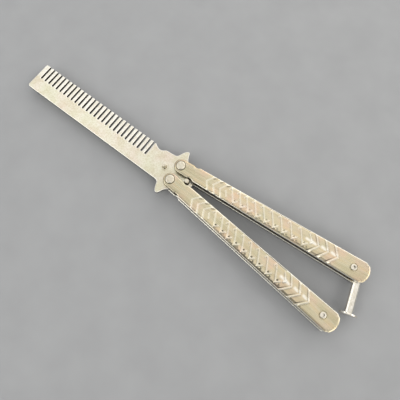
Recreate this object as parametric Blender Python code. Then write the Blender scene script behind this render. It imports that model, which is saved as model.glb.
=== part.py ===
"""Folding comb: a steel comb plate between two cast handles that swing over it, with a T latch.

Metres, +Z up. The comb lies open on its heads, teeth towards +Y and handles towards +X.
Everything is first laid out from a point midway between the two pivots, at the middle of the
plate's thickness, and then moved so that the origin is the middle of the underside.
"""
import math

import bmesh
import bpy
from mathutils import Matrix, Vector

# Heights, measured from the middle of the plate
PLATE_THICK = 0.0020
SLOT = 0.0046
SCALE_THICK = 0.0024
HEAD_PROUD = 0.0007
INNER_Z = SLOT / 2
OUTER_Z = INNER_Z + SCALE_THICK
HEAD_Z = OUTER_Z + HEAD_PROUD
STOP_PIN_Z = 0.0043

# Clearances: pieces fixed to each other, and pieces that move past each other
SEAT_GAP = 0.0001
RUN_GAP = 0.0003
ROUND_SIDES = 24
SMOOTH_BELOW = math.radians(30)
# How far a piece of one solid reaches into the next, so that they join into one body
EMBED = 0.0003

# Comb plate
TIP_X = -0.1102
SPINE_Y = -0.0093
TOOTH_Y = 0.00865
TIP_SPINE_RADIUS = 0.0015
TIP_TOOTH_RADIUS = 0.0006
GAP_COUNT = 28
GAP_PITCH = 0.003106
FIRST_GAP_X = -0.1066
GAP_WIDTH = 0.0011
GAP_ROOT_Y = -0.00095
TOOTH_CORNER = 0.0002
ROOT_SEGMENTS = 4
CURVE_STEPS = 3

# Pivots, stop pins and the way the handles lie. The dome is (inset, share of the height) from the top
PIVOT_Y = 0.00522
PIVOT_PIN_RADIUS = 0.0014
PIVOT_HEAD_RADIUS = 0.0026
PIVOT_HEAD_FLAT = 0.0017
PIVOT_HEAD_DOME = [(0.0, 0.60), (0.0004, 0.20)]
STOP_PIN_X = 0.0083
STOP_PIN_RADIUS = 0.0013
PIN_EDGE = 0.00025
BOSS_RADIUS = 0.0034
SPLAY = math.radians(5.4)

# Handle scales, x from the pivot along the handle
SCREW_X = 0.1122
ROUND_END_X = 0.00045
ROUND_END_RADIUS = 0.00435
NOTCH_X = 0.0086
NOTCH_Y = 0.00625
NOTCH_RADIUS = 0.0024
NOTCH_END_Y = 0.0044
TAPER_START = (0.0107, 0.0047)
TAPER_END = (0.1180, 0.0063)
TAIL_CORNER = (0.1193, 0.0055)
TAIL_X = 0.1219
TAIL_BULGE = 0.0085

# Tail screw
BARREL_RADIUS = 0.0016
SHANK_RADIUS = 0.0011
SCREW_HEAD_RADIUS = 0.00175
COUNTERBORE_RADIUS = 0.00225
COUNTERBORE_DEPTH = 0.00025
HEX_RADIUS = 0.0009
HEX_DEPTH = 0.0009
HEAD_EDGE = 0.0002

# Cast relief on the outer face of each scale
RIDGE_HEIGHT = 0.00040
RIDGE_WIDTH = 0.00085
HOOK_WIDTH = 0.00070
RIDGE_CREST = 0.45
RIDGE_OVERHANG = 0.00015
PIT_RADIUS = 0.00050
PIT_DEPTH = 0.00045
PIT_SIDES = 6
EDGE_GROOVE_X = (0.0305, 0.0835)
EDGE_GROOVE_WIDTH = 0.0009
EDGE_GROOVE_DEPTH = 0.00035
EDGE_RIM = 0.00035

# Latch
LATCH_X = 0.1175
PEG_RADIUS = 0.0012
EYE_RADIUS = 0.0032
EYE_HALF_HEIGHT = 0.00195
SHAFT_WIDTH = 0.0041
SHAFT_HALF_HEIGHT = 0.0017
SHAFT_CROWN = 0.0005
SHAFT_FLAT = 0.6
SHAFT_START = 0.0024
T_START = 0.0232
T_THICK = 0.0010
T_WIDTH = 0.0093
T_HALF_HEIGHT = 0.0040
T_ARCH = 0.0013
LATCH_TURN = math.radians(-79.4)

# Toothed side of the plate from the last gap to the tang: (x, y) points of a smooth curve
TOOTH_SIDE = [
    (-0.0220, 0.00825), (-0.0213, 0.00840), (-0.0195, 0.00740), (-0.0174, 0.00670),
    (-0.0154, 0.00735), (-0.0134, 0.00865), (-0.0105, 0.00890), (-0.0076, 0.00925),
    (-0.0062, 0.00995), (-0.0054, 0.01140), (-0.0046, 0.01330), (-0.0034, 0.01500),
    (-0.0018, 0.01580), (-0.0009, 0.01465), (-0.0002, 0.01300), (0.0006, 0.01160),
    (0.0016, 0.01030),
]

# Tang behind the pivots, the same on both sides, ending at the square tail: (x, half width)
TANG = [
    (0.0034, 0.0082), (0.0044, 0.0056), (0.0050, 0.0034), (0.0066, 0.0021), (0.0083, 0.0020),
    (0.0097, 0.0014), (0.0106, 0.0010),
]
TAIL_END_X = 0.0120
TAIL_HALF_WIDTH = 0.0010
TAIL_END_CORNER = 0.0003

# Spine side of the plate from the tang back to the straight spine
SPINE_SIDE = [
    (0.0016, -0.01030), (0.0005, -0.01120), (-0.0003, -0.01225), (-0.0009, -0.01345),
    (-0.0014, -0.01465), (-0.0020, -0.01545), (-0.0029, -0.01570), (-0.0039, -0.01515),
    (-0.0048, -0.01395), (-0.0055, -0.01245), (-0.0060, -0.01105), (-0.0067, -0.00995),
    (-0.0080, -0.00935),
]

# Chevrons that point to the pivot: (apex x, x of the arms' ends)
PIVOT_CHEVRONS = [(0.0175, 0.0207), (0.0220, 0.0252), (0.0265, 0.0296)]

# Chevrons that point to the tail: (apex x, x of the +y arm's end, x of the -y arm's end)
TAIL_CHEVRONS = [
    (0.0904, 0.0860, 0.0859), (0.0962, 0.0920, 0.0916), (0.1022, 0.0978, 0.0975),
]
SMALL_CHEVRON = [(0.0830, 0.0037), (0.0862, 0.0002), (0.0853, -0.0009)]

# Rope motif: x of the pit of each unit, where the spacing grows with the handle's width
ROPE_PITS = [0.0374, 0.0426, 0.0473, 0.0527, 0.0583, 0.0640, 0.0697, 0.0760, 0.0825]
PIT_Y = -0.0022
ROPE_UNIT_X = 0.0583
# Ridge of the unit at ROPE_UNIT_X, from its pit's x: upper hook, diagonal, hook round the pit
ROPE_RIDGE = [
    (-0.0071, 0.0021), (-0.0057, 0.0037), (-0.0047, 0.0031), (-0.0012, -0.0024),
    (-0.0006, -0.0035), (0.0014, -0.0017),
]
FIRST_HALF_RIDGE = [(0.0300, 0.0006), (0.0318, -0.0020)]


def clear_scene():
    for thing in list(bpy.data.objects):
        bpy.data.objects.remove(thing, do_unlink=True)


def steel(name, rgb, roughness):
    """Bare steel with the warm tone and gloss that the piece has in daylight."""
    made = bpy.data.materials.new(name)
    made.use_nodes = True
    shader = made.node_tree.nodes["Principled BSDF"]
    shader.inputs["Base Color"].default_value = (*rgb, 1.0)
    shader.inputs["Metallic"].default_value = 1.0
    shader.inputs["Roughness"].default_value = roughness
    return made


def arc(centre, radius, start, end, segments):
    """Points on a round stretch, angles in degrees, both ends included."""
    points = []
    for i in range(segments + 1):
        angle = math.radians(start + (end - start) * i / segments)
        points.append((centre[0] + radius * math.cos(angle), centre[1] + radius * math.sin(angle)))
    return points


def circle(centre, radius, sides):
    return arc(centre, radius, 0.0, 360.0, sides)[:-1]


def smooth_curve(keys, steps):
    """Catmull-Rom curve through the keys, with a number of steps from each key to the next."""
    padded = [keys[0], *keys, keys[-1]]
    points = []
    for before, a, b, after in zip(padded, padded[1:], padded[2:], padded[3:]):
        for i in range(steps):
            t = i / steps
            point = []
            for p, q, r, s in zip(before, a, b, after):
                bend = (2 * p - 5 * q + 4 * r - s) * t * t + (3 * q - p - 3 * r + s) * t ** 3
                point.append(0.5 * (2 * q + (r - p) * t + bend))
            points.append(tuple(point))
    points.append(keys[-1])
    return points


def mesh_from(name, verts, faces):
    """Closed mesh with its faces turned outwards."""
    built = bmesh.new()
    corners = [built.verts.new(v) for v in verts]
    for face in faces:
        built.faces.new([corners[i] for i in face])
    bmesh.ops.recalc_face_normals(built, faces=built.faces)
    mesh = bpy.data.meshes.new(name)
    built.to_mesh(mesh)
    built.free()
    return mesh


def slab(name, outline, low, high):
    """Straight extrusion of a closed outline between two heights."""
    count = len(outline)
    verts = [(x, y, low) for x, y in outline] + [(x, y, high) for x, y in outline]
    faces = [list(range(count)), list(range(count, 2 * count))]
    for i in range(count):
        j = (i + 1) % count
        faces.append([i, j, count + j, count + i])
    return mesh_from(name, verts, faces)


def turned(name, profile, sides):
    """Solid of revolution about Z from (radius, height) points, closed on the axis at both ends."""
    verts = [(0.0, 0.0, profile[0][1])]
    for radius, height in profile[1:-1]:
        verts += [(x, y, height) for x, y in circle((0.0, 0.0), radius, sides)]
    verts.append((0.0, 0.0, profile[-1][1]))
    top = len(verts) - 1
    rings = len(profile) - 2
    faces = []
    for i in range(sides):
        j = (i + 1) % sides
        faces.append([0, 1 + i, 1 + j])
        faces.append([top, top - sides + i, top - sides + j])
        for ring in range(rings - 1):
            base = 1 + ring * sides
            faces.append([base + i, base + j, base + sides + j, base + sides + i])
    return mesh_from(name, verts, faces)


def mirrored_profile(upper):
    """Profile that is the same below the plate's middle as above it, listed upwards."""
    lower = [(radius, -height) for radius, height in reversed(upper)]
    return lower + upper


def joined(meshes):
    """Several meshes in one, as separate closed shells."""
    built = bmesh.new()
    for mesh in meshes:
        built.from_mesh(mesh)
        bpy.data.meshes.remove(mesh)
    together = bpy.data.meshes.new("joined")
    built.to_mesh(together)
    built.free()
    return together


def combined(name, base, steps):
    """Base mesh after a list of (operation, mesh) Booleans, as one plain mesh."""
    body = bpy.data.objects.new(name, base)
    bpy.context.scene.collection.objects.link(body)
    tools = []
    for operation, mesh in steps:
        tool = bpy.data.objects.new("tool", mesh)
        bpy.context.scene.collection.objects.link(tool)
        tools.append(tool)
        boolean = body.modifiers.new(operation, "BOOLEAN")
        boolean.operation = operation
        boolean.solver = "EXACT"
        boolean.object = tool
    bpy.context.view_layer.update()
    graph = bpy.context.evaluated_depsgraph_get()
    result = bpy.data.meshes.new_from_object(body.evaluated_get(graph))
    result.name = name
    for thing in [body, *tools]:
        bpy.data.objects.remove(thing, do_unlink=True)
    return result


def placed(mesh, matrix):
    mesh.transform(matrix)
    return mesh


def node(name, mesh, material, parent=None, location=(0.0, 0.0, 0.0), turn=0.0):
    """Named piece with its material, in the frame of its parent."""
    mesh.materials.clear()
    mesh.materials.append(material)
    mesh.shade_smooth()
    mesh.set_sharp_from_angle(angle=SMOOTH_BELOW)
    piece = bpy.data.objects.new(name, mesh)
    bpy.context.scene.collection.objects.link(piece)
    piece.parent = parent
    piece.location = location
    piece.rotation_euler = (0.0, 0.0, turn)
    return piece


def axis_empty(name, location, turn, parent=None):
    """Empty on a joint's axis, which carries the pieces that turn about it."""
    empty = bpy.data.objects.new(name, None)
    bpy.context.scene.collection.objects.link(empty)
    empty.parent = parent
    empty.location = location
    empty.rotation_euler = (0.0, 0.0, turn)
    return empty


def comb_outline():
    """Plate outline, anticlockwise from the tip's spine corner."""
    spine_corner = (TIP_X + TIP_SPINE_RADIUS, SPINE_Y + TIP_SPINE_RADIUS)
    tooth_corner = (TIP_X + TIP_TOOTH_RADIUS, TOOTH_Y - TIP_TOOTH_RADIUS)
    points = arc(tooth_corner, TIP_TOOTH_RADIUS, 180.0, 90.0, 3)
    half = GAP_WIDTH / 2
    for i in range(GAP_COUNT):
        x = FIRST_GAP_X + i * GAP_PITCH
        points += [(x - half - TOOTH_CORNER, TOOTH_Y), (x - half, TOOTH_Y - TOOTH_CORNER)]
        points += arc((x, GAP_ROOT_Y + half), half, 180.0, 360.0, ROOT_SEGMENTS)
        if i < GAP_COUNT - 1:
            points += [(x + half, TOOTH_Y - TOOTH_CORNER), (x + half + TOOTH_CORNER, TOOTH_Y)]
    last_wall = FIRST_GAP_X + (GAP_COUNT - 1) * GAP_PITCH + half
    points.append((last_wall, TOOTH_SIDE[0][1] - TOOTH_CORNER))
    points += smooth_curve(TOOTH_SIDE, CURVE_STEPS)
    points += TANG
    points += [(TAIL_END_X - TAIL_END_CORNER, TAIL_HALF_WIDTH)]
    points += [(TAIL_END_X, TAIL_HALF_WIDTH - TAIL_END_CORNER)]
    points += [(TAIL_END_X, TAIL_END_CORNER - TAIL_HALF_WIDTH)]
    points += [(TAIL_END_X - TAIL_END_CORNER, -TAIL_HALF_WIDTH)]
    points += [(x, -y) for x, y in reversed(TANG)]
    points += smooth_curve(SPINE_SIDE, CURVE_STEPS)
    points += arc(spine_corner, TIP_SPINE_RADIUS, 270.0, 180.0, 4)
    return points[::-1]


def comb_mesh():
    """Plate with its teeth, side points and tang, drilled for both pivots and both stop pins."""
    plate = slab("comb", comb_outline(), -PLATE_THICK / 2, PLATE_THICK / 2)
    pivot_hole = PIVOT_PIN_RADIUS + RUN_GAP
    pin_hole = STOP_PIN_RADIUS + SEAT_GAP
    holes = [
        ((0.0, PIVOT_Y), pivot_hole), ((0.0, -PIVOT_Y), pivot_hole),
        ((STOP_PIN_X, 0.0), pin_hole), ((-STOP_PIN_X, 0.0), pin_hole),
    ]
    drills = [slab("drill", circle(c, r, ROUND_SIDES), -PLATE_THICK, PLATE_THICK) for c, r in holes]
    return combined("comb", plate, [("DIFFERENCE", joined(drills))])


def stop_pin_mesh():
    """Plain round pin with a small chamfer at both ends."""
    upper = [
        (STOP_PIN_RADIUS, STOP_PIN_Z - PIN_EDGE),
        (STOP_PIN_RADIUS - PIN_EDGE, STOP_PIN_Z),
        (0.0, STOP_PIN_Z),
    ]
    return turned("stop_pin", mirrored_profile(upper), ROUND_SIDES)


def pivot_pin_mesh():
    """Shank through both scales and the plate, with a low domed head at each end."""
    seat = OUTER_Z + SEAT_GAP
    dome = [(PIVOT_HEAD_RADIUS - inset, HEAD_Z - share * HEAD_PROUD) for inset, share in PIVOT_HEAD_DOME]
    upper = [(PIVOT_PIN_RADIUS, seat), (PIVOT_HEAD_RADIUS, seat), *dome]
    upper += [(PIVOT_HEAD_FLAT, HEAD_Z), (0.0, HEAD_Z)]
    return turned("pivot_pin", mirrored_profile(upper), ROUND_SIDES)


def tail_screw_mesh():
    """Barrel that spaces the scales, a thinner shank through each, and two socket heads."""
    seat = OUTER_Z - COUNTERBORE_DEPTH + SEAT_GAP
    upper = [
        (BARREL_RADIUS, INNER_Z - SEAT_GAP),
        (SHANK_RADIUS, INNER_Z - SEAT_GAP),
        (SHANK_RADIUS, seat),
        (SCREW_HEAD_RADIUS, seat),
        (SCREW_HEAD_RADIUS, HEAD_Z - HEAD_EDGE),
        (SCREW_HEAD_RADIUS - HEAD_EDGE, HEAD_Z),
        (0.0, HEAD_Z),
    ]
    screw = turned("tail_screw", mirrored_profile(upper), ROUND_SIDES)
    hexagon = circle((0.0, 0.0), HEX_RADIUS, 6)
    sockets = [
        slab("socket", hexagon, HEAD_Z - HEX_DEPTH, HEAD_Z + HEX_DEPTH),
        slab("socket", hexagon, -HEAD_Z - HEX_DEPTH, -HEAD_Z + HEX_DEPTH),
    ]
    return combined("tail_screw", screw, [("DIFFERENCE", joined(sockets))])


def half_width(x):
    """Half the width of a scale along its tapered stretch."""
    (x0, y0), (x1, y1) = TAPER_START, TAPER_END
    return y0 + (y1 - y0) * (x - x0) / (x1 - x0)


def scale_outline():
    """Scale outline, symmetric about the handle's axis, with a notch for a stop pin in each edge."""
    low_angle = math.degrees(math.asin((NOTCH_END_Y - NOTCH_Y) / NOTCH_RADIUS))
    tail_angle = math.degrees(math.asin(TAIL_CORNER[1] / TAIL_BULGE))
    side = [(ROUND_END_X, ROUND_END_RADIUS)]
    side += arc((NOTCH_X, NOTCH_Y), NOTCH_RADIUS, -180.0 - low_angle, low_angle, 8)
    side += [TAPER_START, TAPER_END, TAIL_CORNER]
    bulge = arc((TAIL_X - TAIL_BULGE, 0.0), TAIL_BULGE, tail_angle, -tail_angle, 10)[1:-1]
    round_end = arc((ROUND_END_X, 0.0), ROUND_END_RADIUS, 270.0, 90.0, 16)[1:-1]
    return side + bulge + [(x, -y) for x, y in reversed(side)] + round_end


def ridge(points, width):
    """Raised bar along a bent line on the outer face, narrower at its crest."""
    half = width / 2
    crest = half * RIDGE_CREST
    low = OUTER_Z - EMBED
    high = OUTER_Z + RIDGE_HEIGHT
    line = [Vector(p) for p in points]
    verts = []
    for i, point in enumerate(line):
        before = (line[i] - line[i - 1]).normalized() if i else None
        after = (line[i + 1] - line[i]).normalized() if i < len(line) - 1 else None
        along = ((before or after) + (after or before)).normalized()
        across = Vector((-along.y, along.x))
        stretch = 1.0 / max(abs(along.dot(before or after)), 0.5)
        for side, z in ((half, low), (crest, high), (-crest, high), (-half, low)):
            verts.append((*(point + across * side * stretch), z))
    faces = [[0, 1, 2, 3], [len(verts) - 4 + k for k in range(4)]]
    for i in range(len(line) - 1):
        for k in range(4):
            m = (k + 1) % 4
            faces.append([4 * i + k, 4 * i + m, 4 * i + 4 + m, 4 * i + 4 + k])
    return mesh_from("ridge", verts, faces)


def relief_ridges():
    """All raised bars of one scale: chevrons at both ends and the rope motif between them."""
    bars = []
    for apex, end in PIVOT_CHEVRONS:
        reach = half_width(end) + RIDGE_OVERHANG
        bars.append(ridge([(end, reach), (apex, 0.0), (end, -reach)], RIDGE_WIDTH))
    for apex, upper, lower in TAIL_CHEVRONS:
        high = half_width(upper) + RIDGE_OVERHANG
        low = half_width(lower) + RIDGE_OVERHANG
        bars.append(ridge([(upper, high), (apex, 0.0), (lower, -low)], RIDGE_WIDTH))
    bars.append(ridge(SMALL_CHEVRON, RIDGE_WIDTH))
    bars.append(ridge(FIRST_HALF_RIDGE, RIDGE_WIDTH))
    for pit_x in ROPE_PITS:
        spread = half_width(pit_x) / half_width(ROPE_UNIT_X)
        bars.append(ridge([(pit_x + x * spread, y * spread) for x, y in ROPE_RIDGE], HOOK_WIDTH))
    return joined(bars)


def relief_pits():
    """Pits that the lower hooks of the ridges run round."""
    bottom = OUTER_Z - PIT_DEPTH
    top = OUTER_Z + PIT_DEPTH
    cuts = []
    for pit_x in ROPE_PITS:
        spread = half_width(pit_x) / half_width(ROPE_UNIT_X)
        cuts.append(slab("pit", circle((pit_x, PIT_Y * spread), PIT_RADIUS, PIT_SIDES), bottom, top))
    return joined(cuts)


def edge_grooves():
    """Groove that runs inside each edge's rim along the rope motif."""
    x0, x1 = EDGE_GROOVE_X
    cuts = []
    for side in (1.0, -1.0):
        outer0 = side * (half_width(x0) - EDGE_RIM)
        outer1 = side * (half_width(x1) - EDGE_RIM)
        inner0 = outer0 - side * EDGE_GROOVE_WIDTH
        inner1 = outer1 - side * EDGE_GROOVE_WIDTH
        outline = [(x0, inner0), (x1, inner1), (x1, outer1), (x0, outer0)]
        cuts.append(slab("groove", outline, OUTER_Z - EDGE_GROOVE_DEPTH, OUTER_Z + PIT_DEPTH))
    return joined(cuts)


def scale_mesh():
    """Upper scale: drilled plate with a boss round the pivot inside and the relief outside."""
    plate = slab("scale", scale_outline(), INNER_Z, OUTER_Z)
    boss_low = PLATE_THICK / 2 + RUN_GAP
    boss = slab("boss", circle((0.0, 0.0), BOSS_RADIUS, ROUND_SIDES), boss_low, INNER_Z + EMBED)
    through = 2 * OUTER_Z
    pivot_drill = circle((0.0, 0.0), PIVOT_PIN_RADIUS + SEAT_GAP, ROUND_SIDES)
    screw_drill = circle((SCREW_X, 0.0), SHANK_RADIUS + SEAT_GAP, ROUND_SIDES)
    counterbore = circle((SCREW_X, 0.0), COUNTERBORE_RADIUS, ROUND_SIDES)
    drills = [
        slab("drill", pivot_drill, 0.0, through),
        slab("drill", screw_drill, 0.0, through),
    ]
    sink = slab("sink", counterbore, OUTER_Z - COUNTERBORE_DEPTH, through)
    return combined("scale", plate, [
        ("UNION", boss),
        ("DIFFERENCE", edge_grooves()),
        ("UNION", relief_ridges()),
        ("DIFFERENCE", relief_pits()),
        ("DIFFERENCE", joined(drills)),
        ("DIFFERENCE", sink),
    ])


def turned_over(mesh):
    """The same casting on the other side of the slot, turned about the handle's axis."""
    return placed(mesh.copy(), Matrix.Rotation(math.pi, 4, "X"))


def with_latch_peg(mesh):
    """Lower scale with the peg that the latch swings on, standing up from its inner face."""
    outline = circle((LATCH_X, 0.0), PEG_RADIUS, ROUND_SIDES)
    peg = slab("peg", outline, -INNER_Z - EMBED, INNER_Z - SEAT_GAP)
    return combined("scale_with_peg", mesh, [("UNION", peg)])


def latch_mesh():
    """Eye round the peg, crowned shaft and the upright T plate at its end, along local X."""
    eye = slab("eye", circle((0.0, 0.0), EYE_RADIUS, ROUND_SIDES), -EYE_HALF_HEIGHT, EYE_HALF_HEIGHT)
    half = SHAFT_WIDTH / 2
    top = SHAFT_HALF_HEIGHT
    flat = SHAFT_FLAT * half
    crowned = [(half, top - SHAFT_CROWN), (flat, top), (-flat, top), (-half, top - SHAFT_CROWN)]
    shaft_section = crowned + [(-y, -z) for y, z in crowned]
    upright = Matrix(((0, 0, 1, 0), (1, 0, 0, 0), (0, 1, 0, 0), (0, 0, 0, 1)))
    shaft = placed(slab("shaft", shaft_section, SHAFT_START, T_START + EMBED), upright)
    wide = T_WIDTH / 2
    shoulder = T_HALF_HEIGHT - T_ARCH
    arch_radius = (wide ** 2 + T_ARCH ** 2) / (2 * T_ARCH)
    spread = math.degrees(math.asin(wide / arch_radius))
    arch = arc((0.0, T_HALF_HEIGHT - arch_radius), arch_radius, 90.0 - spread, 90.0 + spread, 6)
    t_outline = arch + [(-wide, -shoulder)] + [(x, -y) for x, y in arch[::-1][1:-1]] + [(wide, -shoulder)]
    t_plate = placed(slab("t_plate", t_outline, T_START, T_START + T_THICK), upright)
    rim = circle((0.0, 0.0), PEG_RADIUS + RUN_GAP, ROUND_SIDES)
    hole = slab("hole", rim, -EYE_RADIUS, EYE_RADIUS)
    return combined("latch", eye, [("UNION", shaft), ("UNION", t_plate), ("DIFFERENCE", hole)])


def rest_on_floor(roots):
    """Moves the whole comb so that the middle of its underside is the origin."""
    bpy.context.view_layer.update()
    low = Vector((math.inf,) * 3)
    high = Vector((-math.inf,) * 3)
    for piece in bpy.data.objects:
        if piece.type != "MESH":
            continue
        for vertex in piece.data.vertices:
            place = piece.matrix_world @ vertex.co
            low = Vector(map(min, low, place))
            high = Vector(map(max, high, place))
    middle = (low + high) / 2
    for root in roots:
        root.location -= Vector((middle.x, middle.y, low.z))


def build():
    clear_scene()
    comb_steel = steel("comb_steel", (0.80, 0.77, 0.70), 0.32)
    pin_steel = steel("pin_steel", (0.72, 0.70, 0.66), 0.28)
    cast_steel = steel("cast_steel", (0.74, 0.70, 0.61), 0.30)
    screw_steel = steel("screw_steel", (0.78, 0.76, 0.72), 0.22)
    latch_steel = steel("latch_steel", (0.82, 0.80, 0.76), 0.20)

    comb = node("comb", comb_mesh(), comb_steel)
    pin = stop_pin_mesh()
    front_pin = node("front_pin", pin, pin_steel, location=(-STOP_PIN_X, 0.0, 0.0))
    tang_pin = node("tang_pin", pin.copy(), pin_steel, location=(STOP_PIN_X, 0.0, 0.0))

    upper = scale_mesh()
    lower = turned_over(upper)
    pivot_pin = pivot_pin_mesh()
    tail_screw = tail_screw_mesh()
    axes = {}
    for letter, side in (("a", -1.0), ("b", 1.0)):
        handle = "handle_" + letter
        axis = axis_empty(handle + "_axis", (0.0, side * PIVOT_Y, 0.0), side * SPLAY)
        under = with_latch_peg(lower.copy()) if letter == "b" else lower.copy()
        node(handle + "_upper_scale", upper.copy(), cast_steel, axis)
        node(handle + "_lower_scale", under, cast_steel, axis)
        node(handle + "_pivot_pin", pivot_pin.copy(), pin_steel, axis)
        node(handle + "_tail_screw", tail_screw.copy(), screw_steel, axis, (SCREW_X, 0.0, 0.0))
        axes[letter] = axis
    latch_axis = axis_empty("latch_axis", (LATCH_X, 0.0, 0.0), LATCH_TURN, axes["b"])
    node("latch", latch_mesh(), latch_steel, latch_axis)
    rest_on_floor([comb, front_pin, tang_pin, axes["a"], axes["b"]])


build()
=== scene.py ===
"""Looks of the folding comb: a ground steel comb plate between two cast handles, with a T latch.

Metres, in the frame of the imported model. Each piece is made in the frame where it is simplest, such
as a handle with its pivot at the origin and its length along X, and then placed in its mesh.
"""

import math

import bmesh
import bpy
from mathutils import Matrix, Vector


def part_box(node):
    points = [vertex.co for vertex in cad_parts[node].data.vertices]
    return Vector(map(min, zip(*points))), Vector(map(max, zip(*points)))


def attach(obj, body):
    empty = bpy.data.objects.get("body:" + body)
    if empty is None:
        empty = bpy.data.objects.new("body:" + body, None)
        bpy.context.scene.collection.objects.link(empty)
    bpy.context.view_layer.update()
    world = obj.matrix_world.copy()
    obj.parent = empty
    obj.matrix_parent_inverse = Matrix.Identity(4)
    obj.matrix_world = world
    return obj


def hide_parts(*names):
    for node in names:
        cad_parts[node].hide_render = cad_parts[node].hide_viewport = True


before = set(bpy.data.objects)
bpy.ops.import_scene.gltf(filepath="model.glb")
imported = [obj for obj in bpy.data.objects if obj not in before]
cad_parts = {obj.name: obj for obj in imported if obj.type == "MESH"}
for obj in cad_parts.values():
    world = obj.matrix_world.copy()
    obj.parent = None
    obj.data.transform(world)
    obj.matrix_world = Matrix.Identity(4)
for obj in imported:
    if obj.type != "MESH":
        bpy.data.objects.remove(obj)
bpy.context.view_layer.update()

# Heights from the middle of the comb plate
PLATE_THICK = 0.0020
INNER_Z = 0.0023
OUTER_Z = 0.0047
HEAD_Z = 0.0054
STOP_PIN_Z = 0.0043
SEAT_GAP = 0.0001
RUN_GAP = 0.0003
EMBED = 0.0003

# Comb plate: outline and gaps
TIP_X = -0.1102
SPINE_Y = -0.0093
TOOTH_Y = 0.00865
TIP_SPINE_RADIUS = 0.0015
TIP_TOOTH_RADIUS = 0.0006
GAP_COUNT = 28
GAP_PITCH = 0.003106
FIRST_GAP_X = -0.1066
LAST_GAP_X = FIRST_GAP_X + (GAP_COUNT - 1) * GAP_PITCH
GAP_WIDTH = 0.0011
GAP_ROOT_Y = -0.00095
PLATE_EDGE = 0.00034
CURVE_STEPS = 8
TANG_STEPS = 3
# The teeth are polished brighter than the blade: by what share, and the y over which that comes in
TEETH_POLISH = 0.7
TEETH_POLISH_Y = (GAP_ROOT_Y - 0.0005, GAP_ROOT_Y + 0.0015)

# Toothed side of the plate from the last gap to the tang: (x, y) points of a smooth curve
TOOTH_SIDE = [
    (-0.0220, 0.00825), (-0.0213, 0.00840), (-0.0195, 0.00740), (-0.0174, 0.00670),
    (-0.0154, 0.00735), (-0.0134, 0.00865), (-0.0105, 0.00890), (-0.0076, 0.00925),
    (-0.0062, 0.00995), (-0.0054, 0.01140), (-0.0046, 0.01330), (-0.0034, 0.01500),
    (-0.0018, 0.01580), (-0.0009, 0.01465), (-0.0002, 0.01300), (0.0006, 0.01160),
    (0.0016, 0.01030),
]
# Tang behind the pivots, the same on both sides, and its square tail: (x, half width)
TANG = [
    (0.0034, 0.0082), (0.0044, 0.0056), (0.0050, 0.0034), (0.0066, 0.0021), (0.0083, 0.0020),
    (0.0097, 0.0014), (0.0106, 0.0010),
]
TAIL_END_X = 0.0120
TAIL_HALF_WIDTH = 0.0010
# Spine side of the plate from the tang back to the straight spine
SPINE_SIDE = [
    (0.0016, -0.01030), (0.0005, -0.01120), (-0.0003, -0.01225), (-0.0009, -0.01345),
    (-0.0014, -0.01465), (-0.0020, -0.01545), (-0.0029, -0.01570), (-0.0039, -0.01515),
    (-0.0048, -0.01395), (-0.0055, -0.01245), (-0.0060, -0.01105), (-0.0067, -0.00995),
    (-0.0080, -0.00935),
]

# Pivots, stop pins and screws
PIVOT_PIN_RADIUS = 0.0014
PIVOT_HEAD_RADIUS = 0.0026
PIVOT_HEAD_FLAT = 0.0017
PIVOT_DOME_SHARE = 0.6
PIVOT_DOME_RINGS = 5
STOP_PIN_X = 0.0083
STOP_PIN_RADIUS = 0.0013
PIN_EDGE = 0.00025
BOSS_RADIUS = 0.0034
SCREW_X = 0.1122
BARREL_RADIUS = 0.0016
SHANK_RADIUS = 0.0011
SCREW_HEAD_RADIUS = 0.00175
SCREW_EDGE = 0.0002
COUNTERBORE_RADIUS = 0.00225
COUNTERBORE_DEPTH = 0.00025
HEX_RADIUS = 0.0009
HEX_DEPTH = 0.0009
ROUND_SIDES = 64

# Handle castings, x from the pivot along the handle
ROUND_END_X = 0.00045
ROUND_END_RADIUS = 0.00435
NOTCH_X = 0.0086
NOTCH_Y = 0.00625
NOTCH_RADIUS = 0.0024
NOTCH_END_Y = 0.0044
TAPER_START = (0.0107, 0.0047)
TAPER_END = (0.1180, 0.0063)
TAIL_CORNER = (0.1193, 0.0055)
TAIL_X = 0.1219
TAIL_BULGE = 0.0085

# Cast relief: chevrons at both ends, a rope of hooked diagonals and pits between them.
# The chevrons give the x of the apex and of the arms' ends, the tail ones of the +y arm first
PIVOT_CHEVRONS = [(0.0175, 0.0207), (0.0220, 0.0252), (0.0265, 0.0296)]
TAIL_CHEVRONS = [(0.0904, 0.0860, 0.0859), (0.0962, 0.0920, 0.0916), (0.1022, 0.0978, 0.0975)]
SMALL_CHEVRON = [(0.0830, 0.0037), (0.0862, 0.0002), (0.0853, -0.0009)]
FIRST_HALF_RIDGE = [(0.0300, 0.0006), (0.0318, -0.0020)]
ROPE_PITS = [0.0374, 0.0426, 0.0473, 0.0527, 0.0583, 0.0640, 0.0697, 0.0760, 0.0825]
PIT_Y = -0.0022
ROPE_UNIT_X = 0.0583
ROPE_RIDGE = [
    (-0.0062, 0.0030), (-0.0056, 0.0037), (-0.0047, 0.0031), (-0.0012, -0.0024),
    (-0.0006, -0.0035), (0.0014, -0.0017),
]
NARROW_GROOVE_X = (0.0305, 0.0835)
BROAD_GROOVE_X = (0.0305, 0.1000)
# Distance of each edge groove's middle line from the edge: the -y one is broad, the +y one narrow
BROAD_GROOVE_INSET = 0.00085
NARROW_GROOVE_INSET = 0.00075
# Distance from each tail chevron to the crease on its pivot side
CREASE_OFFSET = 0.00070
# Short crease behind each pivot chevron's +y arm: (distance past the arm's end, share of the half width)
ARM_CREASE = [(0.0000, 0.62), (0.0020, 0.93)]
# Hollow beside each lower hook, which scallops the broad groove: its place from the unit's pit
LOBE = (0.0020, -0.0018)

# Fine surface of a casting: spacing of its rows over the relief, and on the plain ends
RELIEF_X = (0.0165, 0.1045)
FINE_STEP = 0.00018
PLAIN_STEP = 0.00025
ROUND_STEP = 0.00020
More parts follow.
